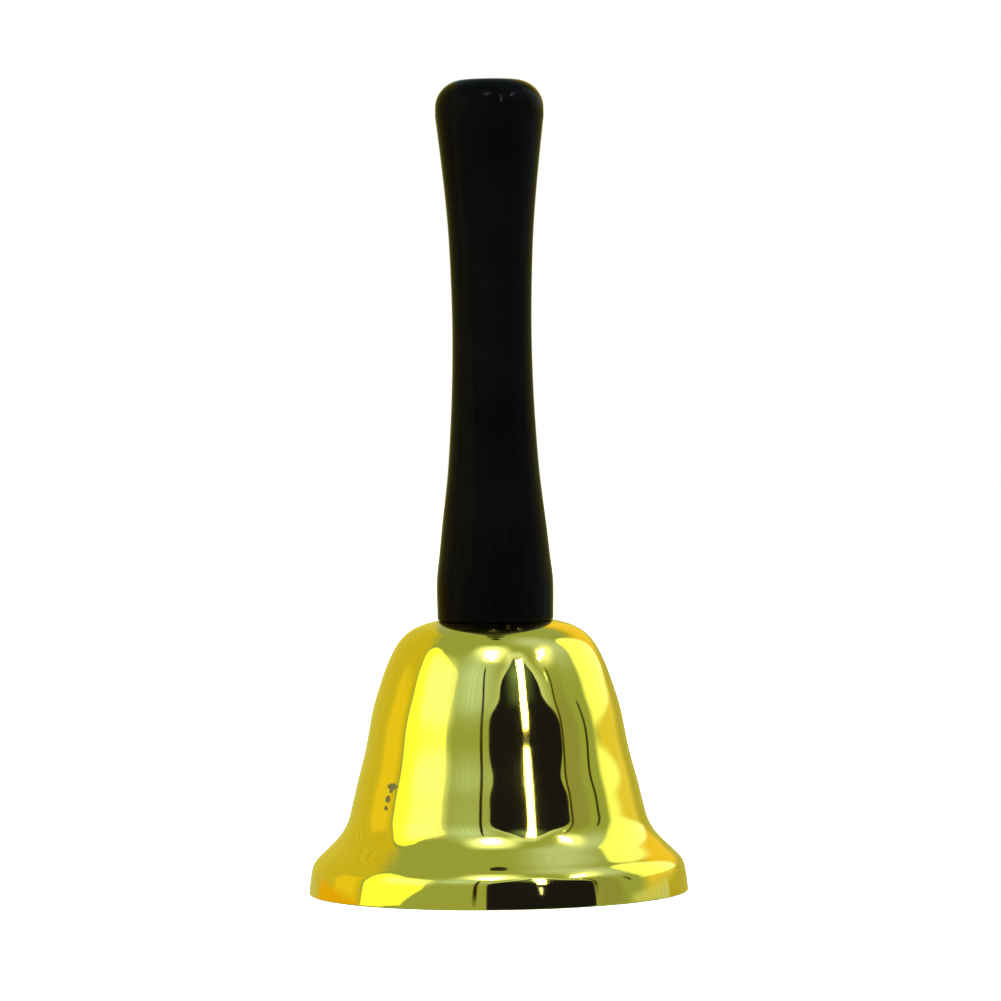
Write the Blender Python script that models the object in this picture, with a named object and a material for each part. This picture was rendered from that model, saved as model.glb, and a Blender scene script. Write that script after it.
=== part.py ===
"""A hand bell: a pressed and plated cup on a turned handle, with a ball clapper hung inside it.

Metres, +Z up. The origin is the centre of the cup's mouth, on the plane that its rim stands on. The bolt's eye lies
in the YZ plane, so the clapper swings mostly along X.
"""

import math

import bmesh
import bpy
from mathutils import Matrix, Vector
from mathutils.geometry import interpolate_bezier

MM = 0.001

# Overall sizes
BELL_HEIGHT = 130 * MM
CUP_HEIGHT = 43.5 * MM
CUP_WALL = 0.9 * MM
GAP = 0.3 * MM  # between pieces that touch

# The cup's outer side from the handle's seat down to the rim: radius and height in mm, and the heading in degrees,
# where 0 runs outwards and -90 runs straight down
CUP_SEAT_RADIUS = 9.4 * MM
CUP_SIDE = (
    (9.8, 43.4, -14),
    (12.4, 42.6, -24),
    (15.4, 40.3, -48),
    (17.0, 37.3, -68),
    (19.3, 31.0, -71),
    (20.3, 26.7, -79),
    (21.8, 20.0, -76),
    (23.1, 14.2, -77),
    (24.7, 10.3, -62),
    (27.4, 7.1, -43),
    (29.4, 5.1, -54),
    (30.0, 3.6, -79),
    (30.4, 0.0, -86),
)

# The handle's side, from the end of its straight foot up to the roundest place of its knob, in the same way
HANDLE_FOOT_RADIUS = 9.3 * MM
HANDLE_FOOT_ROUND = 0.5 * MM
HANDLE_SIDE = (
    (9.3, 51.0, 90),
    (8.9, 54.0, 98),
    (7.8, 62.8, 97),
    (6.95, 72.0, 94.5),
    (6.36, 88.0, 90.5),
    (6.75, 104.5, 86.5),
    (7.5, 114.0, 84),
    (8.5, 122.3, 84),
    (8.75, 124.9, 90),
)
HANDLE_END_RADIUS = 3.7 * MM
HANDLE_BORE_DEPTH = 28 * MM

# The eye bolt that clamps the cup to the handle, and its hardware: an M3 thread, nut and washers
BOLT_RADIUS = 1.5 * MM
BOLT_LENGTH_IN_HANDLE = 26 * MM
BOLT_TIP = 3 * MM
BOLT_TIP_SHARE = 0.2  # of the wire's radius
EYE_WIRE = 1.3 * MM
EYE_RADIUS = 2.8 * MM
EYE_BEND = (64, -230)  # degrees, from the shank round to the cut end
NUT_TO_EYE = 0.6 * MM
HOLE_RADIUS = BOLT_RADIUS + GAP
WASHER_RADIUS = 4.5 * MM
WASHER_THICKNESS = 0.5 * MM
SPRING_RADIUS = 3.1 * MM
SPRING_THICKNESS = 0.7 * MM
SPRING_SPLIT = 14  # degrees
NUT_ACROSS_FLATS = 5.5 * MM
NUT_THICKNESS = 2.4 * MM

# The link that hangs in the eye, and the clapper that hangs in the link
LINK_WIRE = 0.6 * MM
CLAPPER_WIRE = 0.7 * MM
LOOP_RADIUS = 1.7 * MM
LOOP_BEND = (-52, 228)
EYE_TO_LOOP = 1 * MM
BALL_RADIUS = 6.5 * MM
BALL_HEIGHT = 9 * MM
HEAD_SHARE = 2.2  # the rod's peened head under the ball, by the wire's radius
HEAD_LENGTH = 0.8 * MM

ROUND_STEPS = 40
SMALL_STEPS = 24
CURVE_STEPS = 3
WELD = 0.001 * MM

# Heights that follow from the sizes above
HANDLE_BASE = CUP_HEIGHT + GAP
WASHER_TOP = CUP_HEIGHT - CUP_WALL - GAP
SPRING_TOP = WASHER_TOP - WASHER_THICKNESS - GAP
NUT_TOP = SPRING_TOP - SPRING_THICKNESS - GAP
NUT_BOTTOM = NUT_TOP - NUT_THICKNESS
EYE_CENTRE = NUT_BOTTOM - NUT_TO_EYE - EYE_WIRE - EYE_RADIUS
EYE_PIVOT = EYE_CENTRE - EYE_RADIUS
LINK_TOP = EYE_PIVOT + EYE_WIRE + GAP + LINK_WIRE
LOOP_ABOVE_PIVOT = LINK_WIRE + GAP + CLAPPER_WIRE
LINK_PIVOT = EYE_PIVOT - EYE_WIRE - EYE_TO_LOOP - CLAPPER_WIRE - LOOP_ABOVE_PIVOT
LINK_RADIUS = (LINK_TOP - LINK_PIVOT) / 2
LOOP_CENTRE = LINK_PIVOT + LOOP_ABOVE_PIVOT - LOOP_RADIUS


def clear_scene():
    for obj in list(bpy.data.objects):
        bpy.data.objects.remove(obj)


def make_material(name, colour, roughness, metallic):
    material = bpy.data.materials.new(name)
    material.use_nodes = True
    shader = material.node_tree.nodes["Principled BSDF"]
    shader.inputs["Base Color"].default_value = (*colour, 1)
    shader.inputs["Roughness"].default_value = roughness
    shader.inputs["Metallic"].default_value = metallic
    return material


def add_object(name, data, material):
    obj = bpy.data.objects.new(name, data)
    bpy.context.scene.collection.objects.link(obj)
    data.materials.append(material)
    return obj


def add_mesh(name, bm, material, sharp_angle=35):
    """An object from a bmesh, smooth but for its edges."""
    bmesh.ops.recalc_face_normals(bm, faces=bm.faces)
    mesh = bpy.data.meshes.new(name)
    bm.to_mesh(mesh)
    bm.free()
    mesh.shade_smooth()
    mesh.set_sharp_from_angle(angle=math.radians(sharp_angle))
    return add_object(name, mesh, material)


def smooth_run(knots):
    """Points along a smooth curve through knots of radius and height in mm and heading in degrees."""
    points = []
    for (r1, z1, heading1), (r2, z2, heading2) in zip(knots, knots[1:]):
        start, end = Vector((r1, z1)) * MM, Vector((r2, z2)) * MM
        a1, a2 = math.radians(heading1), math.radians(heading2)
        reach = (end - start).length / (3 * math.cos((a2 - a1) / 4) ** 2)
        leave = start + reach * Vector((math.cos(a1), math.sin(a1)))
        arrive = end - reach * Vector((math.cos(a2), math.sin(a2)))
        points += interpolate_bezier(start, leave, arrive, end, CURVE_STEPS + 1)[:-1]
    return points + [Vector(knots[-1][:2]) * MM]


def arc(centre_r, centre_z, radius, start, end, steps):
    """Points on an arc, from one angle in degrees to another."""
    turns = [math.radians(start + (end - start) * i / steps) for i in range(steps + 1)]
    return [Vector((centre_r + radius * math.cos(t), centre_z + radius * math.sin(t))) for t in turns]


def inset(points, distance):
    """The same run of points moved to its right-hand side, seen along the run."""
    moved = []
    for i, point in enumerate(points):
        along = (points[min(i + 1, len(points) - 1)] - points[max(i - 1, 0)]).normalized()
        moved.append(point + distance * Vector((along.y, -along.x)))
    return moved


def turned(name, outline, material, closed, steps=ROUND_STEPS):
    """A solid turned about Z from an outline of (radius, height). A closed outline leaves a hole at the axis."""
    bm = bmesh.new()
    verts = [bm.verts.new((r, 0, z)) for r, z in outline]
    edges = [bm.edges.new(pair) for pair in zip(verts, verts[1:])]
    if closed:
        edges.append(bm.edges.new((verts[-1], verts[0])))
    bmesh.ops.spin(
        bm, geom=verts + edges, cent=(0, 0, 0), axis=(0, 0, 1), angle=math.tau, steps=steps, use_merge=True
    )
    bmesh.ops.remove_doubles(bm, verts=bm.verts, dist=WELD)
    return add_mesh(name, bm, material)


def wire(name, path, material, radius, shares=None, closed=False):
    """A round wire along a path. Shares scale its radius at the path's first points."""
    curve = bpy.data.curves.new(name, "CURVE")
    curve.dimensions = "3D"
    curve.bevel_depth = radius
    curve.bevel_resolution = 3
    curve.use_fill_caps = True
    spline = curve.splines.new("POLY")
    spline.points.add(len(path) - 1)
    spline.use_cyclic_u = closed
    for i, point in enumerate(path):
        spline.points[i].co = (*point, 1)
        spline.points[i].radius = shares[i] if shares and i < len(shares) else 1
    return add_object(name, curve, material)


def hang(obj, height, parent=None):
    """Put a moving piece's origin on its joint, at a height on the Z axis. The piece stays where it is."""
    obj.data.transform(Matrix.Translation((0, 0, -height)))
    obj.parent = parent
    obj.location.z = height - (parent.location.z if parent else 0)


def bent_eye(centre, radius, start, end):
    """The path of a wire's end bent round into an eye, in the YZ plane. Angles are in degrees, -90 at the bottom."""
    return [(0, y, z) for y, z in arc(0, centre, radius, start, end, SMALL_STEPS)]


def make_cup(material):
    side = smooth_run(CUP_SIDE)
    inside = inset(side, CUP_WALL)
    ceiling = CUP_HEIGHT - CUP_WALL
    inside[-1].y = 0
    outline = [(HOLE_RADIUS, CUP_HEIGHT), (CUP_SEAT_RADIUS, CUP_HEIGHT), *side]
    outline += [*reversed(inside), (CUP_SEAT_RADIUS, ceiling), (HOLE_RADIUS, ceiling)]
    turned("bell_cup", outline, material, closed=True)


def make_handle(material):
    foot_round = arc(
        HANDLE_FOOT_RADIUS - HANDLE_FOOT_ROUND, HANDLE_BASE + HANDLE_FOOT_ROUND, HANDLE_FOOT_ROUND, -90, 0, 3
    )
    side = smooth_run(HANDLE_SIDE)
    knob_round = side[-1].x - HANDLE_END_RADIUS
    knob = arc(HANDLE_END_RADIUS, BELL_HEIGHT - knob_round, knob_round, 0, 90, 7)[1:]
    bore_end = HANDLE_BASE + HANDLE_BORE_DEPTH
    outline = [(0, bore_end + HOLE_RADIUS), (HOLE_RADIUS, bore_end), (HOLE_RADIUS, HANDLE_BASE)]
    outline += [*foot_round, *side, *knob, (0, BELL_HEIGHT)]
    turned("handle", outline, material, closed=False)


def make_eye_bolt(material):
    """One wire: a pointed and threaded shank that ends in a bent eye."""
    tip = HANDLE_BASE + BOLT_LENGTH_IN_HANDLE
    thread_end = NUT_BOTTOM - NUT_TO_EYE / 2
    shank = [(0, 0, z) for z in (tip, tip - BOLT_TIP, thread_end, NUT_BOTTOM - NUT_TO_EYE)]
    thread_share = BOLT_RADIUS / EYE_WIRE
    shares = [BOLT_TIP_SHARE, thread_share, thread_share]
    wire("eye_bolt", shank + bent_eye(EYE_CENTRE, EYE_RADIUS, *EYE_BEND), material, EYE_WIRE, shares)


def make_washer(material):
    bottom = WASHER_TOP - WASHER_THICKNESS
    outline = [
        (HOLE_RADIUS, WASHER_TOP),
        (WASHER_RADIUS, WASHER_TOP),
        (WASHER_RADIUS, bottom),
        (HOLE_RADIUS, bottom),
    ]
    turned("flat_washer", outline, material, closed=True, steps=SMALL_STEPS)


def make_spring_washer(material):
    """A split ring of square wire."""
    bm = bmesh.new()
    bottom = SPRING_TOP - SPRING_THICKNESS
    corners = [(HOLE_RADIUS, SPRING_TOP), (SPRING_RADIUS, SPRING_TOP), (SPRING_RADIUS, bottom), (HOLE_RADIUS, bottom)]
    section = bm.faces.new([bm.verts.new((r, 0, z)) for r, z in corners])
    bmesh.ops.spin(
        bm,
        geom=[section],
        cent=(0, 0, 0),
        axis=(0, 0, 1),
        angle=math.radians(360 - SPRING_SPLIT),
        steps=SMALL_STEPS,
    )
    add_mesh("spring_washer", bm, material)


def make_nut(material):
    """A hexagon cut to the shape of a bored barrel, which gives it its chamfered corners."""
    flat_radius = NUT_ACROSS_FLATS / 2
    corner_radius = flat_radius / math.cos(math.radians(30))
    chamfer = (corner_radius - flat_radius) / math.sqrt(3)
    outline = [
        (HOLE_RADIUS, NUT_TOP),
        (flat_radius, NUT_TOP),
        (corner_radius + WELD, NUT_TOP - chamfer),
        (corner_radius + WELD, NUT_BOTTOM + chamfer),
        (flat_radius, NUT_BOTTOM),
        (HOLE_RADIUS, NUT_BOTTOM),
    ]
    nut = turned("hex_nut", outline, material, closed=True, steps=SMALL_STEPS)
    bm = bmesh.new()
    bmesh.ops.create_cone(
        bm, cap_ends=True, segments=6, radius1=corner_radius, radius2=corner_radius, depth=2 * NUT_THICKNESS
    )
    hexagon = add_mesh("hexagon_cutter", bm, material)
    hexagon.location.z = NUT_BOTTOM + NUT_THICKNESS / 2
    hexagon.hide_render = True
    hexagon.display_type = "WIRE"
    flats = nut.modifiers.new("flats", "BOOLEAN")
    flats.operation = "INTERSECT"
    flats.object = hexagon


def make_link(material):
    centre = LINK_TOP - LINK_RADIUS
    circle = arc(0, centre, LINK_RADIUS, 0, 360, SMALL_STEPS)[:-1]
    link = wire("clapper_link", [(x, 0, z) for x, z in circle], material, LINK_WIRE, closed=True)
    hang(link, EYE_PIVOT)
    return link


def make_clapper_rod(material, link):
    """A straight wire through the ball, with a peened head at its foot and a loop round the link at its top."""
    head = BALL_HEIGHT - BALL_RADIUS - GAP
    foot = head - HEAD_LENGTH
    neck = LOOP_CENTRE - LOOP_RADIUS - CLAPPER_WIRE
    stem = [(0, 0, z) for z in (foot, foot + HEAD_LENGTH / 3, head - HEAD_LENGTH / 10, head, neck)]
    shares = [HEAD_SHARE / 2, HEAD_SHARE, HEAD_SHARE, 1]
    rod = wire("clapper_rod", stem + bent_eye(LOOP_CENTRE, LOOP_RADIUS, *LOOP_BEND), material, CLAPPER_WIRE, shares)
    hang(rod, LINK_PIVOT, link)


def make_ball(material, link):
    bore = CLAPPER_WIRE + GAP
    edge = math.degrees(math.acos(bore / BALL_RADIUS))
    outline = arc(0, BALL_HEIGHT, BALL_RADIUS, edge, -edge, SMALL_STEPS // 2)
    ball = turned("clapper_ball", outline, material, closed=True, steps=SMALL_STEPS)
    hang(ball, LINK_PIVOT, link)


def main():
    clear_scene()
    plated = make_material("brass_plated_steel", (0.83, 0.68, 0.16), 0.12, 1)
    lacquer = make_material("black_lacquered_wood", (0.006, 0.006, 0.006), 0.2, 0)
    zinc = make_material("zinc_plated_steel", (0.62, 0.63, 0.65), 0.32, 1)
    nickel = make_material("nickel_plated_steel", (0.66, 0.62, 0.56), 0.15, 1)
    make_cup(plated)
    make_handle(lacquer)
    make_eye_bolt(zinc)
    make_washer(zinc)
    make_spring_washer(zinc)
    make_nut(zinc)
    link = make_link(zinc)
    make_clapper_rod(zinc, link)
    make_ball(nickel, link)


main()
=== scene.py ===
import math

import bpy
import numpy as np
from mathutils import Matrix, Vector, noise


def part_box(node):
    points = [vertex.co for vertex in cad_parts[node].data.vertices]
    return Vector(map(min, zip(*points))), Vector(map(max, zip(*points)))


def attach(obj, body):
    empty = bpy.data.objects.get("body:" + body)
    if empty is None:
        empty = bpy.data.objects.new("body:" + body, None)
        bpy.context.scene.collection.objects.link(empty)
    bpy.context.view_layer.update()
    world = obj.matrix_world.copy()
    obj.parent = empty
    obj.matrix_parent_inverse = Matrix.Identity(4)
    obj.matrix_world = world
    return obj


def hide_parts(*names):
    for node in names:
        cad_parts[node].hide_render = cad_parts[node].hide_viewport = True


# A hand bell: a brass plated cup, a black lacquered handle, and the clapper and its hardware inside.
# Everything is in metres, +Z up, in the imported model's frame.

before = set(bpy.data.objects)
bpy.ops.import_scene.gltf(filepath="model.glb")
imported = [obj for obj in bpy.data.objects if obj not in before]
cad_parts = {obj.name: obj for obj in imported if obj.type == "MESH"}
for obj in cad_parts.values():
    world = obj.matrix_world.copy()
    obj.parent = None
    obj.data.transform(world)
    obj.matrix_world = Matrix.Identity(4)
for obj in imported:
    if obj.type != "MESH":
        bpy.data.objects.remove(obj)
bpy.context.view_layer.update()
mm = 0.001
# degrees above which an edge stays sharp on turned work and on wire
turnedEdge, wireEdge = 40, 35


def hexColour(text):
    # sRGB hex to the linear colour that a socket holds
    channels = [int(text[i:i + 2], 16) / 255 for i in (1, 3, 5)]
    return tuple(c / 12.92 if c <= 0.04045 else ((c + 0.055) / 1.055) ** 2.4 for c in channels) + (1,)


def addNode(tree, kind, settings={}, links={}):
    # one node, its settings by socket or property name, and its links by socket
    node = tree.nodes.new("ShaderNode" + kind)
    for key, value in settings.items():
        if isinstance(key, int) or key in node.inputs:
            node.inputs[key].default_value = value
        else:
            setattr(node, key, value)
    for key, socket in links.items():
        tree.links.new(socket, node.inputs[key])
    return node


def newMaterial(name, settings):
    # a material, its shader, and the piece's own coordinates
    material = bpy.data.materials.new(name)
    material.use_nodes = True
    shader = material.node_tree.nodes["Principled BSDF"]
    for socket, value in settings.items():
        shader.inputs[socket].default_value = value
    return material, material.node_tree, shader, addNode(material.node_tree, "TexCoord").outputs["Object"]


def dressShader(tree, shader, colour, roughness, normal):
    for socket, source in (("Base Color", colour), ("Roughness", roughness), ("Normal", normal)):
        tree.links.new(source, shader.inputs[socket])


def arc(centreR, centreZ, radius, start, end, steps):
    # points of radius and height on an arc, angles in degrees
    turns = [math.radians(start + (end - start) * i / steps) for i in range(steps + 1)]
    return [(centreR + radius * math.cos(t), centreZ + radius * math.sin(t)) for t in turns]


def smoothThrough(points, steps):
    # a curve through the points whose bend never jumps, so that a mirror finish shows no kinks
    knots = np.array(points)
    spans = np.sqrt(np.linalg.norm(np.diff(knots, axis=0), axis=1))
    count = len(knots)
    matrix, sides = np.eye(count), np.zeros((count, 2))
    for i in range(1, count - 1):
        matrix[i, i - 1:i + 2] = spans[i - 1], 2 * (spans[i - 1] + spans[i]), spans[i]
        sides[i] = 6 * ((knots[i + 1] - knots[i]) / spans[i] - (knots[i] - knots[i - 1]) / spans[i - 1])
    bends = np.linalg.solve(matrix, sides)
    run = []
    for i, span in enumerate(spans):
        for u in np.linspace(0, span, steps, endpoint=False):
            v = span - u
            point = (bends[i] * v**3 + bends[i + 1] * u**3) / (6 * span)
            point += (knots[i] / span - bends[i] * span / 6) * v
            point += (knots[i + 1] / span - bends[i + 1] * span / 6) * u
            run.append((float(point[0]), float(point[1])))
    return run + [tuple(points[-1])]


def moveInward(run, distance):
    # the same run, moved to its right-hand side
    moved = []
    for i, (r, z) in enumerate(run):
        before, after = run[max(i - 1, 0)], run[min(i + 1, len(run) - 1)]
        along = Vector((after[0] - before[0], after[1] - before[1])).normalized()
        moved.append((r + distance * along.y, z - distance * along.x))
    return moved


def startPiece(name):
    # the primitive just added becomes a piece at the origin, open for editing and selected all over
    piece = bpy.context.object
    piece.name = piece.data.name = name
    bpy.ops.object.transform_apply(location=True, rotation=True, scale=True)
    bpy.ops.object.mode_set(mode="EDIT")
    bpy.ops.mesh.select_all(action="SELECT")
    return piece


def closePiece(piece, sharpAngle=turnedEdge):
    # seams merged, faces outward, smooth but for its edges
    bpy.ops.mesh.select_all(action="SELECT")
    bpy.ops.mesh.remove_doubles(threshold=0.001 * mm)
    bpy.ops.mesh.normals_make_consistent(inside=False)
    bpy.ops.object.mode_set(mode="OBJECT")
    bpy.ops.object.shade_smooth_by_angle(angle=math.radians(sharpAngle))
    return piece


def turnPiece(name, outline, segments):
    # lathe work: a point is drawn along an outline of radius and height in mm, and spun round Z
    points = [(r * mm, z * mm) for r, z in outline]
    bpy.ops.object.select_all(action="DESELECT")
    bpy.ops.mesh.primitive_plane_add(size=mm, location=(points[0][0], 0, points[0][1]))
    piece = startPiece(name)
    bpy.ops.mesh.merge(type="CENTER")
    for (r, z), (nextR, nextZ) in zip(points, points[1:]):
        bpy.ops.mesh.extrude_vertices_move(TRANSFORM_OT_translate={"value": (nextR - r, 0, nextZ - z)})
    bpy.ops.mesh.select_all(action="SELECT")
    bpy.ops.mesh.spin(steps=segments, angle=math.tau, center=(0, 0, 0), axis=(0, 0, 1))
    return closePiece(piece)


def startWire(name, radius, x, z, sides):
    # the cut end of a wire that runs along Z
    bpy.ops.object.select_all(action="DESELECT")
    bpy.ops.mesh.primitive_circle_add(
        vertices=sides, radius=radius * mm, fill_type="NGON", location=(x * mm, 0, z * mm)
    )
    return startPiece(name)


def drawWire(length, share=1):
    # the wire's end goes on straight, and swells or narrows to a share of its radius
    bpy.ops.mesh.extrude_region_move(TRANSFORM_OT_translate={"value": (0, 0, length * mm)})
    if share != 1:
        bpy.ops.transform.resize(value=(share, share, 1), center_override=(0, 0, 0))


def bendWire(centreY, centreZ, axis, angle, steps):
    # the wire's end is bent round a centre in the YZ plane
    centre = (0, centreY * mm, centreZ * mm)
    bpy.ops.mesh.spin(steps=steps, angle=math.radians(angle), center=centre, axis=axis)


def useModifier(piece, kind, **settings):
    # a modifier is added, set and applied
    bpy.ops.object.select_all(action="DESELECT")
    bpy.context.view_layer.objects.active = piece
    piece.select_set(True)
    modifier = piece.modifiers.new(kind.title(), kind)
    for key, value in settings.items():
        setattr(modifier, key, value)
    bpy.ops.object.modifier_apply(modifier=modifier.name)


def combine(piece, other, operation):
    # the other shape is cut away, joined on, or kept only where both are
    useModifier(piece, "BOOLEAN", operation=operation, object=other)
    bpy.data.objects.remove(other)


def finishPiece(piece, node, body, material):
    piece.data.materials.clear()
    piece.data.materials.append(material)
    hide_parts(node)
    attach(piece, body)
    print("made", piece.name)


def heightsOf(node):
    # a CAD node's lowest and highest point, in mm
    low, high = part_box(node)
    return low.z / mm, high.z / mm


def platedBrass():
    # Bright brass plating on pressed, polished steel: a yellow mirror with the faint rings of the polishing
    # wheel, a slightly uneven skin, and three small chips low on the left where the steel shows.
    look = {
        "brass": "#e8d34d", "inside": "#b59b45", "steel": "#80766a",
        "peelSize": 2.5, "peelDepth": 0.0011, "ringSize": 0.3, "ringDepth": 0.00025,
        "smudgeSize": 14, "smudgeRange": (0.42, 0.68), "polished": 0.035, "smudged": 0.075,
        "insideRoughness": 0.3, "chipDepth": 0.03, "chipEdge": 0.75, "raggedSize": 0.5, "raggedness": 0.6,
        # each chip: its centre and its three half sizes, in mm
        "chips": (
            ((-16.5, -15.1, 18.2), (1.5, 1.5, 0.6)), ((-16.8, -15.1, 17.5), (0.55, 0.55, 0.5)),
            ((-17.2, -14.9, 16.2), (0.75, 0.75, 0.65)), ((-17.5, -15.0, 14.8), (0.65, 0.65, 0.45)),
        ),
    }
    material, tree, shader, place = newMaterial("platedBrass", {"Metallic": 1})
    inside = addNode(tree, "Attribute", {"attribute_name": "innerWall"}).outputs["Fac"]
    # an uneven skin on the plating, and rings that run round the cup
    peel = addNode(
        tree, "TexNoise", {"Scale": 1 / (look["peelSize"] * mm), "Detail": 2}, {"Vector": place}
    )
    split = addNode(tree, "SeparateXYZ", links={"Vector": place})
    ring = addNode(
        tree, "TexNoise",
        {"noise_dimensions": "1D", "Scale": 1 / (look["ringSize"] * mm), "Detail": 4},
        {"W": split.outputs["Z"]},
    )
    # the chips' edges are ragged
    ragged = addNode(
        tree, "TexNoise", {"Scale": 1 / (look["raggedSize"] * mm), "Detail": 3}, {"Vector": place}
    )
    reach = look["raggedness"] * mm
    wander = addNode(
        tree, "VectorMath", {"operation": "MULTIPLY_ADD", 1: (reach,) * 3, 2: (-reach / 2,) * 3},
        {0: ragged.outputs["Color"]},
    )
    moved = addNode(tree, "VectorMath", {}, {0: place, 1: wander.outputs[0]}).outputs[0]
    chips = None
    for centre, sizes in look["chips"]:
        # the distance from its centre, as a share of its size
        spread = tuple(1 / (size * mm) for size in sizes)
        offset = tuple(-c / size for c, size in zip(centre, sizes))
        share = addNode(
            tree, "VectorMath", {"operation": "MULTIPLY_ADD", 1: spread, 2: offset}, {0: moved}
        )
        away = addNode(tree, "VectorMath", {"operation": "LENGTH"}, {0: share.outputs[0]})
        chip = addNode(
            tree, "MapRange", {"From Min": 1, "From Max": look["chipEdge"]},
            {"Value": away.outputs["Value"]},
        ).outputs[0]
        if chips:
            chip = addNode(tree, "Math", {"operation": "MAXIMUM"}, {0: chips, 1: chip}).outputs[0]
        chips = chip
    # colour: brass, a duller inside, and the steel in the chips
    colour = addNode(
        tree, "Mix",
        {"data_type": "RGBA", 6: hexColour(look["brass"]), 7: hexColour(look["inside"])}, {0: inside},
    )
    colour = addNode(
        tree, "Mix", {"data_type": "RGBA", 7: hexColour(look["steel"])},
        {0: chips, 6: colour.outputs[2]},
    )
    # sheen: smudges outside, a rough skin inside and in the chips
    smudge = addNode(
        tree, "TexNoise",
        {"Scale": 1 / (look["smudgeSize"] * mm), "Detail": 5, "Roughness": 0.65}, {"Vector": place},
    )
    least, most = look["smudgeRange"]
    sheen = addNode(
        tree, "MapRange",
        {"From Min": least, "From Max": most, "To Min": look["polished"], "To Max": look["smudged"]},
        {"Value": smudge.outputs["Fac"]},
    )
    dull = addNode(tree, "Math", {"operation": "MAXIMUM"}, {0: inside, 1: chips})
    rough = addNode(
        tree, "Mix", {"data_type": "FLOAT", 3: look["insideRoughness"]},
        {0: dull.outputs[0], 2: sheen.outputs[0]},
    )
    ringBump = addNode(
        tree, "Bump", {"Strength": 1, "Distance": look["ringDepth"] * mm}, {"Height": ring.outputs["Fac"]}
    )
    peelBump = addNode(
        tree, "Bump", {"Strength": 1, "Distance": look["peelDepth"] * mm},
        {"Height": peel.outputs["Fac"], "Normal": ringBump.outputs[0]},
    )
    chipBump = addNode(
        tree, "Bump", {"Strength": 1, "Distance": look["chipDepth"] * mm, "invert": True},
        {"Height": chips, "Normal": peelBump.outputs[0]},
    )
    dressShader(tree, shader, colour.outputs[2], rough.outputs[0], chipBump.outputs[0])
    return material


def blackLacquer():
    # Beech turned on a lathe and dipped in black nitro lacquer: deep gloss black, with a trace of the
    # turning rings and a lacquer skin that lies a little unevenly.
    look = {
        "black": "#050505", "rubbed": "#0b0a09", "ringSize": 0.9, "ringDepth": 0.0012, "skinSize": 3.5,
        "skinDepth": 0.003, "handSize": 18, "handRange": (0.4, 0.7), "gloss": 0.03, "handled": 0.08,
        "shine": 0.02, "shineColour": "#ffe2a0",
    }
    material, tree, shader, place = newMaterial("blackLacquer", {
        "Specular IOR Level": look["shine"], "Specular Tint": hexColour(look["shineColour"]),
    })
    split = addNode(tree, "SeparateXYZ", links={"Vector": place})
    ring = addNode(
        tree, "TexNoise",
        {"noise_dimensions": "1D", "Scale": 1 / (look["ringSize"] * mm), "Detail": 3},
        {"W": split.outputs["Z"]},
    )
    skin = addNode(
        tree, "TexNoise", {"Scale": 1 / (look["skinSize"] * mm), "Detail": 2}, {"Vector": place}
    )
    hands = addNode(
        tree, "TexNoise", {"Scale": 1 / (look["handSize"] * mm), "Detail": 6, "Roughness": 0.6},
        {"Vector": place},
    )
    least, most = look["handRange"]
    handled = addNode(
        tree, "MapRange", {"From Min": least, "From Max": most}, {"Value": hands.outputs["Fac"]}
    ).outputs[0]
    colour = addNode(
        tree, "Mix",
        {"data_type": "RGBA", 6: hexColour(look["black"]), 7: hexColour(look["rubbed"])}, {0: handled},
    )
    rough = addNode(
        tree, "Mix", {"data_type": "FLOAT", 2: look["gloss"], 3: look["handled"]}, {0: handled}
    )
    ringBump = addNode(
        tree, "Bump", {"Strength": 1, "Distance": look["ringDepth"] * mm}, {"Height": ring.outputs["Fac"]}
    )
    skinBump = addNode(
        tree, "Bump", {"Strength": 1, "Distance": look["skinDepth"] * mm},
        {"Height": skin.outputs["Fac"], "Normal": ringBump.outputs[0]},
    )
    dressShader(tree, shader, colour.outputs[2], rough.outputs[0], skinBump.outputs[0])
    return material


# Sizes in mm of what the plated steel shows, the same for zinc and nickel. The scratches run along Z.
plating = {
    "cloudSize": 1.8, "cloudRange": (0.35, 0.7), "scratchSize": 0.15, "scratchRun": 0.12,
    "tarnishSize": 0.9, "tarnishRange": (0.62, 0.75),
}


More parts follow.
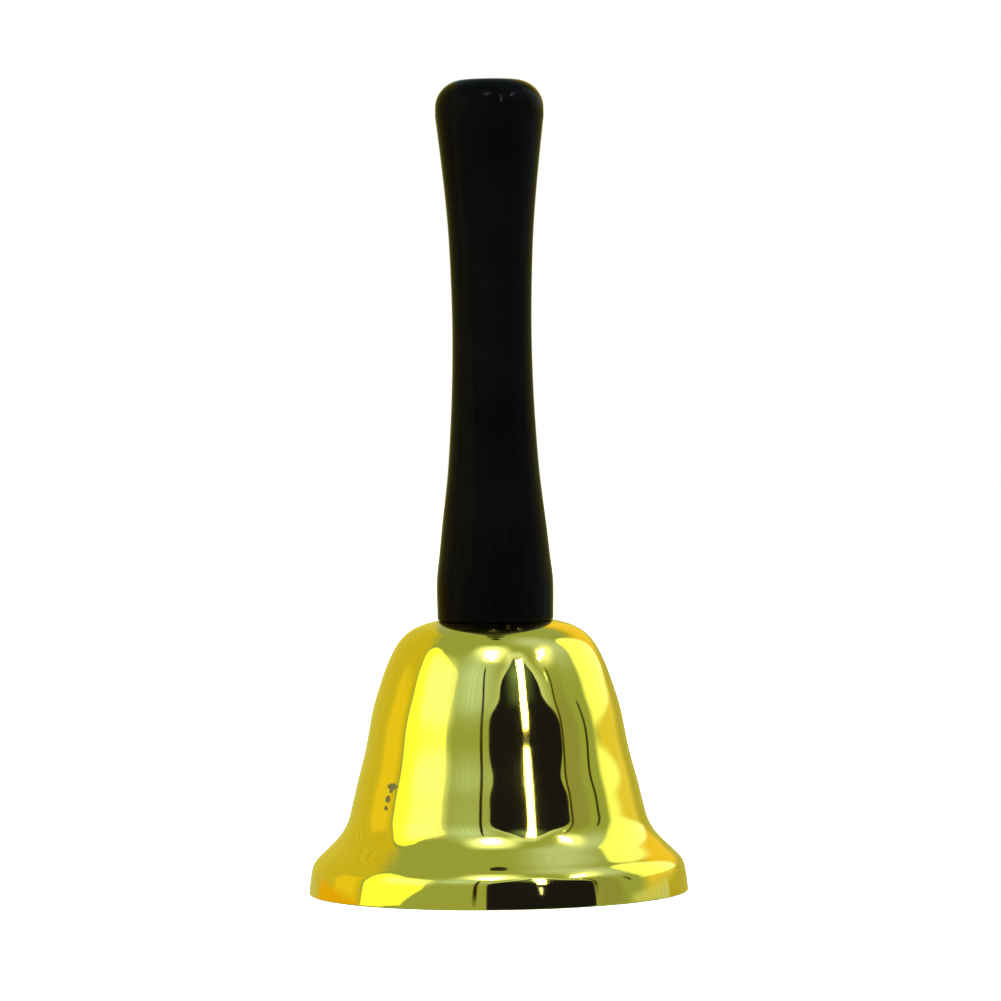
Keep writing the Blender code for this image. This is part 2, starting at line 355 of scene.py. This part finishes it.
def platedSteel(name, look):
    # Drawn steel wire and stamped steel under a thin bright plating: grey metal with a cloudy sheen, fine
    # drawing scratches, and a little brown where the plating is thin.
    material, tree, shader, place = newMaterial(name, {"Metallic": 1})
    cloud = addNode(
        tree, "TexNoise", {"Scale": 1 / (plating["cloudSize"] * mm), "Detail": 5, "Roughness": 0.6},
        {"Vector": place},
    )
    stretched = addNode(tree, "Mapping", {"Scale": (1, 1, plating["scratchRun"])}, {"Vector": place})
    scratch = addNode(
        tree, "TexNoise", {"Scale": 1 / (plating["scratchSize"] * mm), "Detail": 3},
        {"Vector": stretched.outputs[0]},
    )
    thin = addNode(
        tree, "TexNoise", {"Scale": 1 / (plating["tarnishSize"] * mm), "Detail": 4}, {"Vector": place}
    )
    cloudy, tarnish = (
        addNode(
            tree, "MapRange", {"From Min": least, "From Max": most}, {"Value": pattern.outputs["Fac"]}
        ).outputs[0]
        for pattern, (least, most) in ((cloud, plating["cloudRange"]), (thin, plating["tarnishRange"]))
    )
    colour = addNode(
        tree, "Mix",
        {"data_type": "RGBA", 6: hexColour(look["bright"]), 7: hexColour(look["cloudy"])}, {0: cloudy},
    )
    colour = addNode(
        tree, "Mix", {"data_type": "RGBA", 7: hexColour(look["tarnish"])},
        {0: tarnish, 6: colour.outputs[2]},
    )
    rough = addNode(
        tree, "Mix", {"data_type": "FLOAT", 2: look["smooth"], 3: look["rough"]}, {0: cloudy}
    )
    bump = addNode(
        tree, "Bump", {"Strength": 1, "Distance": look["scratchDepth"] * mm},
        {"Height": scratch.outputs["Fac"]},
    )
    dressShader(tree, shader, colour.outputs[2], rough.outputs[0], bump.outputs[0])
    return material


# The cup: thin sheet pressed over a former. Its side isn't quite straight, which shows in what it mirrors.
cup = {
    "segments": 192, "wall": 0.9, "hole": 1.7, "seat": 9.4, "rimRound": 0.15, "rimSteps": 4,
    # radius and height from the seat down to the rim
    "side": (
        (9.8, 43.4), (12.0, 42.78), (14.1, 41.63), (15.67, 40.0), (16.72, 38.2), (17.7, 36.0),
        (18.75, 33.0), (19.68, 30.0), (20.33, 27.0), (20.88, 24.0), (21.58, 21.0), (22.4, 18.0),
        (23.0, 15.5), (23.53, 13.3), (24.13, 11.3), (25.37, 9.2), (26.48, 8.0), (27.49, 7.0),
        (28.23, 6.3), (28.87, 5.7), (29.65, 4.6), (29.95, 3.6), (30.2, 2.0), (30.4, 0.2),
    ),
    "stepsBetween": 5, "rippleLength": 12, "rippleDepth": 0.005,
}


def makeCup():
    crown = heightsOf("bell_cup")[1]
    outside = smoothThrough(cup["side"], cup["stepsBetween"])
    inside = moveInward(outside, cup["wall"])
    rimR, rimZ = outside[-1]
    innerR = inside[-1][0]
    rounding = cup["rimRound"]
    outline = [(cup["hole"], crown), (cup["seat"], crown)] + outside
    outline += arc(rimR - rounding, rounding, rounding, 0, -90, cup["rimSteps"])[1:]
    outline += arc(innerR + rounding, rounding, rounding, -90, -180, cup["rimSteps"])
    outline += inside[-2::-1] + [(cup["seat"], crown - cup["wall"]), (cup["hole"], crown - cup["wall"])]
    piece = turnPiece("plated_cup", outline + outline[:1], cup["segments"])
    # the inner wall is marked for its duller finish
    marks = piece.data.attributes.new("innerWall", "FLOAT", "POINT")
    for vertex in piece.data.vertices:
        outward = vertex.normal.xy.dot(vertex.co.xy.normalized())
        marks.data[vertex.index].value = outward + vertex.normal.z < 0
    # the thin sheet ripples very slightly
    for vertex in piece.data.vertices:
        r = vertex.co.xy.length
        if r > cup["side"][0][0] * mm:
            ripple = noise.noise(vertex.co / (cup["rippleLength"] * mm)) * cup["rippleDepth"] * mm
            vertex.co.xy *= 1 + ripple / r
    finishPiece(piece, "bell_cup", "bell", platedBrass())


# The handle: a straight foot, a slim waist and a rounded knob with a flat end.
handle = {
    "segments": 128, "footRound": 0.45, "seatGap": 0.02, "bore": 1.55, "boreDepth": 28.5, "drillPoint": 0.9,
    "boreChamfer": 0.4,
    "side": (
        (9.3, 45.0), (9.31, 50.2), (8.97, 53.2), (8.3, 59.3), (7.48, 66.0), (6.97, 72.4), (6.56, 80.0),
        (6.36, 90.0), (6.5, 98.0), (6.85, 106.0), (7.54, 114.0), (8.2, 120.0), (8.7, 124.2),
    ),
    "stepsBetween": 6, "footSteps": 6, "knobEdge": 4.15, "knobStart": 6, "knobSteps": 20,
}


def makeHandle():
    foot = heightsOf("bell_cup")[1] + handle["seatGap"]
    top = heightsOf("handle")[1]
    footR, footRound = handle["side"][0][0], handle["footRound"]
    side = smoothThrough(handle["side"], handle["stepsBetween"])
    knobEdge = handle["knobEdge"]
    knobRound = side[-1][0] - knobEdge
    boreEnd = foot + handle["boreDepth"]
    bore, chamfer = handle["bore"], handle["boreChamfer"]
    outline = [(0, boreEnd + handle["drillPoint"]), (bore, boreEnd)]
    outline += [(bore, foot + chamfer), (bore + chamfer, foot)]
    outline += arc(footR - footRound, foot + footRound, footRound, -90, 0, handle["footSteps"]) + side
    outline += arc(knobEdge, top - knobRound, knobRound, handle["knobStart"], 90, handle["knobSteps"])
    outline += [(0, top)]
    piece = turnPiece("lacquered_handle", outline, handle["segments"])
    finishPiece(piece, "handle", "bell", blackLacquer())


# The eye bolt: one wire, with a rolled M3 thread above and a bent eye below.
bolt = {
    "sides": 32, "wire": 1.3, "eye": 2.8, "neckBend": 1.5, "cutEnd": -228, "cutEdge": 0.12, "shank": 0.3,
    "insideThread": 6, "neckSteps": 12, "eyeSteps": 60, "thread": 1.5, "pitch": 0.5, "threadDepth": 0.3,
    "point": 3.0, "pointShare": 0.25, "stepsPerPitch": 8,
}


def makeEyeBolt(zinc):
    low, high = heightsOf("eye_bolt")
    eyeZ = low + bolt["wire"] + bolt["eye"]
    # the neck and the eye bend opposite ways, and meet where their two circles touch
    rise = math.sqrt(bolt["eye"] ** 2 + 2 * bolt["eye"] * bolt["neckBend"])
    turn = math.degrees(math.atan2(rise, bolt["neckBend"]))
    threadEnd = eyeZ + rise + bolt["shank"]
    piece = startWire("eye_bolt_wire", bolt["wire"], 0, threadEnd + bolt["insideThread"], bolt["sides"])
    drawWire(-bolt["insideThread"] - bolt["shank"])
    bendWire(bolt["neckBend"], eyeZ + rise, (1, 0, 0), turn, bolt["neckSteps"])
    bendWire(0, eyeZ, (1, 0, 0), bolt["cutEnd"] - turn, bolt["eyeSteps"])
    closePiece(piece, wireEdge)
    useModifier(piece, "BEVEL", width=bolt["cutEdge"] * mm, segments=2, angle_limit=math.radians(60))
    # the thread: a turned bar whose surface steps in and out along a helix, and runs out at both ends
    rings = int((high - bolt["point"] - threadEnd) / bolt["pitch"] * bolt["stepsPerPitch"])
    bar = [(0, high), (bolt["wire"] * bolt["pointShare"], high)]
    bar += [(bolt["thread"], z) for z in np.linspace(high - bolt["point"], threadEnd, rings)]
    bar += [(0, threadEnd)]
    thread = turnPiece("eye_bolt_thread", bar, bolt["sides"])
    for vertex in thread.data.vertices:
        r, z = vertex.co.xy.length, vertex.co.z / mm
        if r > bolt["wire"] * mm and z > threadEnd:
            phase = (z / bolt["pitch"] - math.atan2(vertex.co.y, vertex.co.x) / math.tau) % 1
            runOut = min(1, (high - bolt["point"] - z) / bolt["pitch"], (z - threadEnd) / bolt["pitch"])
            groove = abs(2 * phase - 1) * max(0, runOut) * bolt["threadDepth"]
            vertex.co.xy *= (bolt["thread"] - groove) / bolt["thread"]
    # known fault: this join leaves only a speck of 4 faces, so the bolt doesn't show
    combine(piece, thread, "UNION")
    finishPiece(piece, "eye_bolt", "bell", zinc)


# The clamp under the crown. The three pieces close up the clearances that the solids keep between them.
clamp = {
    "closeUp": 0.29, "washer": 4.5, "washerBore": 1.62, "washerRound": 0.2, "washerBurr": 0.05,
    "washerSegments": 64, "spring": 3.1, "springBore": 1.6, "springWire": 0.7, "springEdge": 0.08,
    "springSteps": 60, "slit": 12, "slitLean": 25, "nutFlats": 5.5, "nutChamfer": 30, "nutBore": 1.52,
    "nutSink": 0.3, "nutEdge": 0.04, "overlap": 0.1,
}


def makeFlatWasher(zinc):
    low, high = heightsOf("flat_washer")
    low, high = low + clamp["closeUp"], high + clamp["closeUp"]
    outer, bore = clamp["washer"], clamp["washerBore"]
    rounding, burr = clamp["washerRound"], clamp["washerBurr"]
    outline = [(bore, high), (outer - burr, high), (outer, high - burr)]
    outline += arc(outer - rounding, low + rounding, rounding, 0, -90, 4) + [(bore, low)]
    piece = turnPiece("flat_washer_punched", outline + outline[:1], clamp["washerSegments"])
    finishPiece(piece, "flat_washer", "bell", zinc)


def makeSpringWasher(zinc):
    low, high = heightsOf("spring_washer")
    low, high = low + 2 * clamp["closeUp"], high + 2 * clamp["closeUp"]
    middle = (clamp["springBore"] + clamp["spring"]) / 2
    bpy.ops.object.select_all(action="DESELECT")
    bpy.ops.mesh.primitive_plane_add(
        size=mm, location=(middle * mm, 0, (low + high) / 2 * mm), rotation=(math.radians(90), 0, 0)
    )
    bpy.context.object.scale = (2 * (clamp["spring"] - middle), high - low, 1)
    piece = startPiece("spring_washer_split")
    turn = math.radians(360 - clamp["slit"])
    bpy.ops.mesh.spin(steps=clamp["springSteps"], angle=turn, center=(0, 0, 0), axis=(0, 0, 1))
    closePiece(piece)
    # the slit is cut at a slant
    for vertex in piece.data.vertices:
        lean = (vertex.co.z / mm - (low + high) / 2) * clamp["slitLean"] / clamp["springWire"]
        turned = math.atan2(vertex.co.y, vertex.co.x) + math.radians(lean)
        r = vertex.co.xy.length
        vertex.co.xy = (r * math.cos(turned), r * math.sin(turned))
    useModifier(
        piece, "BEVEL", width=clamp["springEdge"] * mm, segments=2, angle_limit=math.radians(50)
    )
    finishPiece(piece, "spring_washer", "bell", zinc)


def makeNut(zinc):
    low, high = heightsOf("hex_nut")
    low, high = low + 3 * clamp["closeUp"], high + 3 * clamp["closeUp"]
    flat = clamp["nutFlats"] / 2
    corner = flat / math.cos(math.radians(30))
    bpy.ops.object.select_all(action="DESELECT")
    bpy.ops.mesh.primitive_cylinder_add(
        vertices=6, radius=corner * mm, depth=(high - low) * mm, location=(0, 0, (low + high) / 2 * mm)
    )
    piece = closePiece(startPiece("hex_nut_faced"), 20)
    # a turned blank gives the chamfered corners, and a turned cutter the bore with its countersinks
    over = clamp["overlap"]
    face, outer = flat - over, corner + over / 2
    drop = (outer - face) * math.tan(math.radians(clamp["nutChamfer"]))
    blank = [(0, high), (face, high), (outer, high - drop), (outer, low + drop), (face, low), (0, low)]
    combine(piece, turnPiece("nut_blank", blank, 96), "INTERSECT")
    bore, sink = clamp["nutBore"], clamp["nutSink"]
    mouth = bore + sink + over
    cutter = [(0, high + over), (mouth, high + over), (bore, high - sink), (bore, low + sink)]
    cutter += [(mouth, low - over), (0, low - over)]
    combine(piece, turnPiece("nut_cutter", cutter, 48), "DIFFERENCE")
    useModifier(piece, "BEVEL", width=clamp["nutEdge"] * mm, segments=2, angle_limit=math.radians(25))
    finishPiece(piece, "hex_nut", "bell", zinc)


# The clapper: a jump ring in the eye, a wire with a loop at its top, and the ball on the wire, which is
# peened into a head under it.
clapper = {
    "sides": 28, "ringWire": 0.6, "ringSlit": 1.2, "ringSteps": 72, "wire": 0.7, "loop": 1.7,
    "neckBend": 1.0, "neckSteps": 12, "loopSteps": 56, "cutEnd": 226, "touch": 0.015,
    "ball": 6.5, "ballSegments": 96, "ballSteps": 56, "edgeBreak": 0.25, "head": 0.8, "headStart": 0.945,
    # the peened head from below: each step's share of its height, and how much the wire swells over it
    "headSteps": ((0.2, 1.6), (0.35, 1.3), (0.4, 1.02), (0.05, 0.93)),
}


def makeClapper(zinc, nickel):
    eyeTop = heightsOf("eye_bolt")[0] + 2 * bolt["wire"]
    ringLow = heightsOf("clapper_link")[0] + clapper["ringWire"]
    ringHigh = eyeTop + clapper["ringWire"] + clapper["touch"]
    ringR, ringZ = (ringHigh - ringLow) / 2, (ringHigh + ringLow) / 2
    ring = startWire("jump_ring", clapper["ringWire"], ringR, ringZ, clapper["sides"])
    bendWire(0, ringZ, (0, 1, 0), 360 - clapper["ringSlit"], clapper["ringSteps"])
    closePiece(ring, wireEdge)
    finishPiece(ring, "clapper_link", "link", zinc)

    ballLow, ballHigh = heightsOf("clapper_ball")
    ballZ = (ballLow + ballHigh) / 2
    loopTop = ringLow + clapper["ringWire"] + clapper["wire"] + clapper["touch"]
    loopZ = loopTop - clapper["loop"]
    drop = math.sqrt(clapper["loop"] ** 2 + 2 * clapper["loop"] * clapper["neckBend"])
    turn = math.degrees(math.atan2(drop, clapper["neckBend"]))
    bore = clapper["wire"] + clapper["touch"]
    landR = bore + clapper["edgeBreak"]
    landZ = math.sqrt(clapper["ball"] ** 2 - landR**2)
    headZ = ballZ - landZ - clapper["touch"]
    # the peened head is domed below, and the wire goes up through the ball to its loop
    start = clapper["wire"] * clapper["headStart"]
    rod = startWire("clapper_wire", start, 0, headZ - clapper["head"], clapper["sides"])
    width = start
    for share, swell in clapper["headSteps"]:
        drawWire(clapper["head"] * share, swell)
        width *= swell
    drawWire(0.001, clapper["wire"] / width)
    drawWire(loopZ - drop - headZ)
    bendWire(clapper["neckBend"], loopZ - drop, (1, 0, 0), -turn, clapper["neckSteps"])
    bendWire(0, loopZ, (1, 0, 0), clapper["cutEnd"] + turn, clapper["loopSteps"])
    closePiece(rod)
    finishPiece(rod, "clapper_rod", "clapper", zinc)

    edge = math.degrees(math.atan2(landZ, landR))
    outline = arc(0, ballZ, clapper["ball"], edge, -edge, clapper["ballSteps"])
    outline += [(bore, ballZ - landZ), (bore, ballZ + landZ)]
    ball = turnPiece("clapper_ball_turned", outline + outline[:1], clapper["ballSegments"])
    finishPiece(ball, "clapper_ball", "clapper", nickel)


# The studio: a pale tent round the bell with a bright window on each side, a dark opening in front with a
# lit slit in it, two lamps above, and a dark hole straight overhead. The polished cup shows all of it.
studio = {
    "tent": "#a6bdb4", "backdrop": "#ffffff", "distance": 1.4, "aim": 0.02, "layer": 0.005,
    "floor": "#f3f3f2", "floorGlow": 0.85, "floorSize": 6, "cardColumns": 24, "cardRows": 36,
    # folds across a card, and how much its light changes over them
    "foldCount": 30, "folds": 0.2,
}

# Each card: rows of elevation, left and right azimuth in degrees, then its colour and strength, and how softly
# its sides and its ends fade. Azimuth 0 is towards the camera, and right is more.
cards = {
    "left_wall": (
        ((-32, -179, -91), (8, -179, -91), (22, -174, -92), (34, -166, -97), (44, -154, -104),
         (56, -140, -116)),
        "#fff568", 0.72, 0.03, 0.2,
    ),
    "wall_glow": (((-14, -128, -92), (12, -122, -91), (28, -120, -95)), "#ffee5a", 0.98, 0.3, 0.35),
    "wall_foot": (((-20, -152, -88), (-3, -148, -88), (3, -138, -88)), "#ffcc1b", 0.93, 0.2, 0.3),
    "left_window": (
        ((-10, -93, -76), (-2, -92, -72), (2, -91.5, -64), (5, -91.2, -57), (8, -91, -52),
         (10.5, -91, -47.5), (13, -91, -46), (22, -92, -45.8), (29, -94.5, -45), (32, -96, -43.4),
         (36, -98, -43.6), (39, -99.5, -47), (42, -100.5, -58), (45, -100, -74), (48.5, -96, -86)),
        "#eaff9f", 1.58, 0.015, 0.02,
    ),
    "window_glare": (
        ((10, -80, -40), (22, -84, -38), (34, -90, -38), (48, -94, -44)),
        "#c2d5ff", 2.4, 0.3, 0.3,
    ),
    "left_sheen": (((14, -58, 2), (36, -60, 10), (64, -54, 22)), "#8ca8ff", 2.5, 0.5, 0.5),
    "right_overhead": (
        ((22, 72, 118), (46, 62, 122), (68, 30, 140), (86, 0, 170)),
        "#94abff", 2.1, 0.45, 0.35,
    ),
    "right_foot": (((-14, 84, 160), (-1, 84, 150), (4, 84, 140)), "#dcefff", 0.95, 0.12, 0.25),
    "right_shade": (
        ((-12, 58, 86), (4, 58, 86), (20, 58, 80), (34, 56, 72)),
        "#e5faff", 0.42, 0.3, 0.25,
    ),
    "right_wall": (
        ((-32, 126, 179), (10, 124, 179), (30, 128, 176), (44, 126, 160)),
        "#fff976", 0.55, 0.03, 0.2,
    ),
    "right_glow": (((6, 134, 180), (20, 132, 180), (40, 130, 178)), "#ffe053", 1.05, 0.14, 0.3),
    "right_sill": (
        ((-2, 93, 146), (5, 94, 148), (10, 95, 150), (17, 95, 150)),
        "#fff48c", 0.95, 0.3, 0.4,
    ),
    "right_window": (
        ((8, 96, 150), (14, 96, 150), (22, 95.5, 148), (30, 97, 144), (40, 101, 138), (47, 106, 130),
         (51, 112, 122)),
        "#e8ffec", 1.55, 0.12, 0.09,
    ),
    "opening_rim": (
        ((20, -13, 66), (29, -11, 62), (36, -2, 54), (44, 6, 48), (53, 13, 42), (58, 20, 36)),
        "#a6b9ff", 2.1, 0.25, 0.25,
    ),
    "dark_opening": (
        ((-45, -8, 61), (13, -7.7, 60.8), (16, -7.7, 60.8), (18, -7.5, 60), (20, -7.2, 59),
         (22, -6.6, 57.6), (24, -5.6, 56), (26.5, -3.9, 53), (29, -1.4, 49.8), (31, 0.8, 46.8),
         (33.5, 3.6, 44.4), (36, 6.6, 42.8), (39, 10.6, 40.9), (43, 15.4, 37.8), (49, 23.4, 32)),
        "#7c80ff", 0.06, 0.012, 0.01,
    ),
    "slit_haze": (((27, 6, 46), (38, 7, 45), (52, 12, 42)), "#a4cdff", 0.75, 0.5, 0.5),
    "slit": (
        ((16.7, 23.8, 29.4), (24, 23.9, 30.6), (31, 24, 31.5), (41, 24.6, 34), (48, 25.5, 36)),
        "#e7ebff", 15, 0.12, 0.02,
    ),
    "slit_foot": (((8.6, 25, 26.8), (13.2, 23.8, 27.4)), "#99a2ff", 5, 0.25, 0.1),
    "left_lamp_glow": (((44, -44, 30), (58, -44, 32), (76, -48, 36)), "#a3b6ff", 6, 0.5, 0.5),
    "left_lamp": (((47, -20, 6), (55, -22, 8), (63, -22, 9)), "#e1e9ff", 16, 0.35, 0.35),
    "right_lamp_glow": (((34, 46, 80), (46, 48, 94), (62, 56, 112)), "#b2c0ff", 3.6, 0.5, 0.5),
    "right_lamp": (((42, 55, 68), (47, 56, 74), (54, 61, 84)), "#e1e9ff", 16, 0.35, 0.35),
    "left_bulb": (((49, -7.5, -3.5), (51, -7.5, -3.5)), "#f3f5ff", 290, 0.3, 0.3),
    "right_bulb": (((43, 56, 60), (45, 56, 60)), "#f3f5ff", 290, 0.3, 0.3),
    "slit_bulb": (((27, 24.8, 27.4), (29, 24.8, 27.4)), "#b5c8ff", 260, 0.3, 0.3),
    "lamp_drip": (((30, 56.2, 58.4), (36, 55, 57.2)), "#b4d8ff", 3.5, 0.4, 0.35),
    "left_seam": (
        ((2, -16.2, -13.4), (15, -15.4, -12.7), (28, -14.8, -12.2), (38, -14.6, -12.4),
         (46, -13.6, -11.8)),
        "#ffbc9c", 0.03, 0.12, 0.15,
    ),
    "right_seam": (
        ((3, 60.6, 63), (18, 60.6, 63), (32, 59.4, 61.4), (40, 58.4, 60)),
        "#ffc99c", 0.06, 0.2, 0.25,
    ),
    "far_seam": (((8.5, 87, 90), (16, 85.4, 88.2), (23, 84.4, 86.8)), "#ffcbaa", 0.05, 0.15, 0.15),
    "overhead_hole": (((87.1, -180, 180), (90, -180, 180)), "#cbcbff", 0.05, 0.001, 0.02),
}


def makeCard(name, rows, colour, strength, sideFade, endFade, nearer):
    # a card bent round the bell: it is mirrored and gives light, but the camera doesn't see it
    bpy.ops.object.select_all(action="DESELECT")
    bpy.ops.mesh.primitive_grid_add(
        x_subdivisions=studio["cardColumns"], y_subdivisions=studio["cardRows"], size=1
    )
    card = bpy.context.object
    card.name = card.data.name = name
    elevations, lefts, rights = zip(*rows)
    steps = range(len(rows))
    reach = studio["distance"] - nearer
    for vertex in card.data.vertices:
        row = (vertex.co.y + 0.5) * (len(rows) - 1)
        left, right = np.interp(row, steps, lefts), np.interp(row, steps, rights)
        turn = math.radians(left + (right - left) * (vertex.co.x + 0.5))
        lift = math.radians(np.interp(row, steps, elevations))
        vertex.co = (
            reach * math.sin(turn) * math.cos(lift),
            -reach * math.cos(turn) * math.cos(lift),
            reach * math.sin(lift) + studio["aim"],
        )
    material = bpy.data.materials.new(name)
    material.use_nodes = True
    tree = material.node_tree
    tree.nodes.clear()
    place = addNode(tree, "SeparateXYZ", links={"Vector": addNode(tree, "TexCoord").outputs["UV"]})
    fades = []
    for axis, softness in (("X", sideFade), ("Y", endFade)):
        fromMiddle = addNode(tree, "Math", {"operation": "SUBTRACT", 1: 0.5}, {0: place.outputs[axis]})
        distance = addNode(tree, "Math", {"operation": "ABSOLUTE"}, {0: fromMiddle.outputs[0]})
        fades.append(addNode(
            tree, "MapRange",
            {"interpolation_type": "SMOOTHSTEP", "From Min": 0.5, "From Max": 0.5 - softness},
            {"Value": distance.outputs[0]},
        ).outputs[0])
    cover = addNode(tree, "Math", {"operation": "MULTIPLY"}, {0: fades[0], 1: fades[1]})
    # soft folds run down the cloth
    fold = addNode(
        tree, "TexNoise", {"noise_dimensions": "1D", "Scale": studio["foldCount"], "Detail": 2},
        {"W": place.outputs["X"]},
    )
    light = addNode(
        tree, "MapRange",
        {"To Min": strength * (1 - studio["folds"]), "To Max": strength * (1 + studio["folds"])},
        {"Value": fold.outputs["Fac"]},
    )
    glow = addNode(tree, "Emission", {"Color": hexColour(colour)}, {"Strength": light.outputs[0]})
    clear = addNode(tree, "BsdfTransparent")
    shown = addNode(tree, "MixShader", links={0: cover.outputs[0], 1: clear.outputs[0], 2: glow.outputs[0]})
    addNode(tree, "OutputMaterial", links={"Surface": shown.outputs[0]})
    card.data.materials.append(material)
    card.visible_camera = False
    card.visible_shadow = False


def makeStudio():
    world = bpy.data.worlds.new("tent")
    bpy.context.scene.world = world
    world.use_nodes = True
    tree = world.node_tree
    tree.nodes.clear()
    tent = addNode(tree, "Background", {"Color": hexColour(studio["tent"])})
    backdrop = addNode(tree, "Background", {"Color": hexColour(studio["backdrop"])})
    seen = addNode(tree, "LightPath").outputs["Is Camera Ray"]
    mix = addNode(tree, "MixShader", links={0: seen, 1: tent.outputs[0], 2: backdrop.outputs[0]})
    addNode(tree, "OutputWorld", links={"Surface": mix.outputs[0]})

    bpy.ops.object.select_all(action="DESELECT")
    bpy.ops.mesh.primitive_plane_add(size=studio["floorSize"])
    floor = bpy.context.object
    floor.name = floor.data.name = "pale_floor"
    pale = hexColour(studio["floor"])
    material, tree, shader, _ = newMaterial("paleFloor", {
        "Base Color": pale, "Roughness": 1, "Specular IOR Level": 0, "Emission Color": pale,
        "Emission Strength": studio["floorGlow"],
    })
    # from below, the floor is clear
    below = addNode(tree, "NewGeometry").outputs["Backfacing"]
    clear = addNode(tree, "BsdfTransparent").outputs[0]
    shown = addNode(tree, "MixShader", links={0: below, 1: shader.outputs[0], 2: clear})
    tree.links.new(shown.outputs[0], tree.nodes["Material Output"].inputs["Surface"])
    floor.data.materials.append(material)
    floor.visible_glossy = False
    for order, (name, card) in enumerate(cards.items()):
        makeCard(name, *card, nearer=studio["layer"] * order)


# The camera stands 0.8 m away and a little above the rim, and leans slightly.
camera = {"distance": 0.8, "height": 0.08, "aside": 0.00125, "down": 1.24, "lean": 0.7, "lens": 179.6}


def makeCamera():
    bpy.ops.object.camera_add(
        location=(camera["aside"], -camera["distance"], camera["height"]),
        rotation=(math.radians(90 - camera["down"]), math.radians(camera["lean"]), 0),
    )
    bpy.context.object.data.lens = camera["lens"]
    bpy.context.scene.camera = bpy.context.object


print("making the bell")
makeCup()
makeHandle()
zincPlate = platedSteel("zincPlatedSteel", {
    "bright": "#c9ccd0", "cloudy": "#a9adb2", "tarnish": "#7d7566", "smooth": 0.2, "rough": 0.38,
    "scratchDepth": 0.004,
})
nickelPlate = platedSteel("nickelPlatedSteel", {
    "bright": "#cfc8bb", "cloudy": "#b8b0a2", "tarnish": "#86796a", "smooth": 0.12, "rough": 0.3,
    "scratchDepth": 0.002,
})
makeEyeBolt(zincPlate)
makeFlatWasher(zincPlate)
makeSpringWasher(zincPlate)
makeNut(zincPlate)
makeClapper(zincPlate, nickelPlate)
print("setting the studio")
makeStudio()
makeCamera()
bpy.context.scene.view_settings.view_transform = "Standard"
